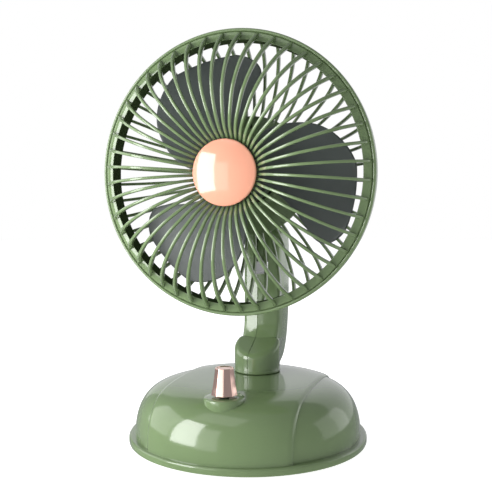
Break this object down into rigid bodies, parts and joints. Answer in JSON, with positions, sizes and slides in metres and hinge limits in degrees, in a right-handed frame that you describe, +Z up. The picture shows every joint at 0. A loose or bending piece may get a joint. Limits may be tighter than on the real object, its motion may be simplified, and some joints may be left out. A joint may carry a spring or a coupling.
{
  "type": "desk fan",
  "caption": "Small desk fan with a domed radial grille, three petal blades, a two-shell swivel neck with head tilt, and a round dome base with a faceted speed knob.",
  "frame": {"origin": "centre of the base's underside, on the surface it stands on", "axes": "+Z up; -Y is the front, where the air blows; +X is the right side seen from the front"},
  "size_m": [0.1806, 0.16, 0.2681],
  "materials": {
    "green_shell": "gloss",
    "green_matte": "matt",
    "steel": "satin",
    "foot_rubber": "matt",
    "ballast_iron": "matt",
    "black_plastic": "matt",
    "cell_wrap": "gloss",
    "board_green": "satin",
    "rose_metal": "polished",
    "copper_cap": "gloss",
    "blade_grey": "matt",
    "brass": "satin",
    "magnet": "matt",
    "core_iron": "satin"
  },
  "bodies": {
    "base": {"base_shell": "green_shell", "base_plate": "green_matte", "base_screws": "steel", "rubber_feet": "foot_rubber", "ballast_weight": "ballast_iron", "battery_tray": "black_plastic", "battery_cells": "cell_wrap", "control_board": "board_green", "power_inlet": "steel", "speed_switch": "black_plastic", "swivel_bush": "black_plastic"},
    "knob": {"knob_cap": "rose_metal", "knob_shaft": "black_plastic"},
    "neck": {"neck_shell_left": "green_shell", "neck_shell_right": "green_shell", "neck_screws": "steel", "swivel_tube": "steel", "swivel_nut": "steel", "tilt_bolt": "steel", "tilt_nut": "steel", "tilt_washers": "black_plastic"},
    "head": {"front_grille": "green_shell", "rear_grille": "green_shell", "grille_cap": "copper_cap", "grille_screws": "steel", "motor_can": "steel", "motor_magnets": "magnet", "front_bearing": "brass", "rear_bearing": "brass", "motor_screws": "steel", "motor_housing": "green_shell", "housing_screws": "steel"},
    "rotor": {"motor_shaft": "steel", "armature": "core_iron", "fan_blade": "blade_grey", "blade_nut": "blade_grey"}
  },
  "joints": [
    {"name": "speed_knob", "type": "hinge", "parent": "base", "child": "knob", "pos_m": [0.002, -0.0535, 0.042], "axis": [0, 0, -1], "range_deg": [0, 270]},
    {"name": "neck_swivel", "type": "hinge", "parent": "base", "child": "neck", "pos_m": [0, 0.0216, 0.0414], "axis": [0, 0, 1], "range_deg": [-45, 45]},
    {"name": "head_tilt", "type": "hinge", "parent": "neck", "child": "head", "pos_m": [0, 0.045, 0.127], "axis": [-1, 0, 0], "range_deg": [-15, 60]},
    {"name": "blade_spin", "type": "hinge", "parent": "head", "child": "rotor", "pos_m": [0, -0.029, 0.1778], "axis": [0, 1, 0], "continuous": true}
  ]
}
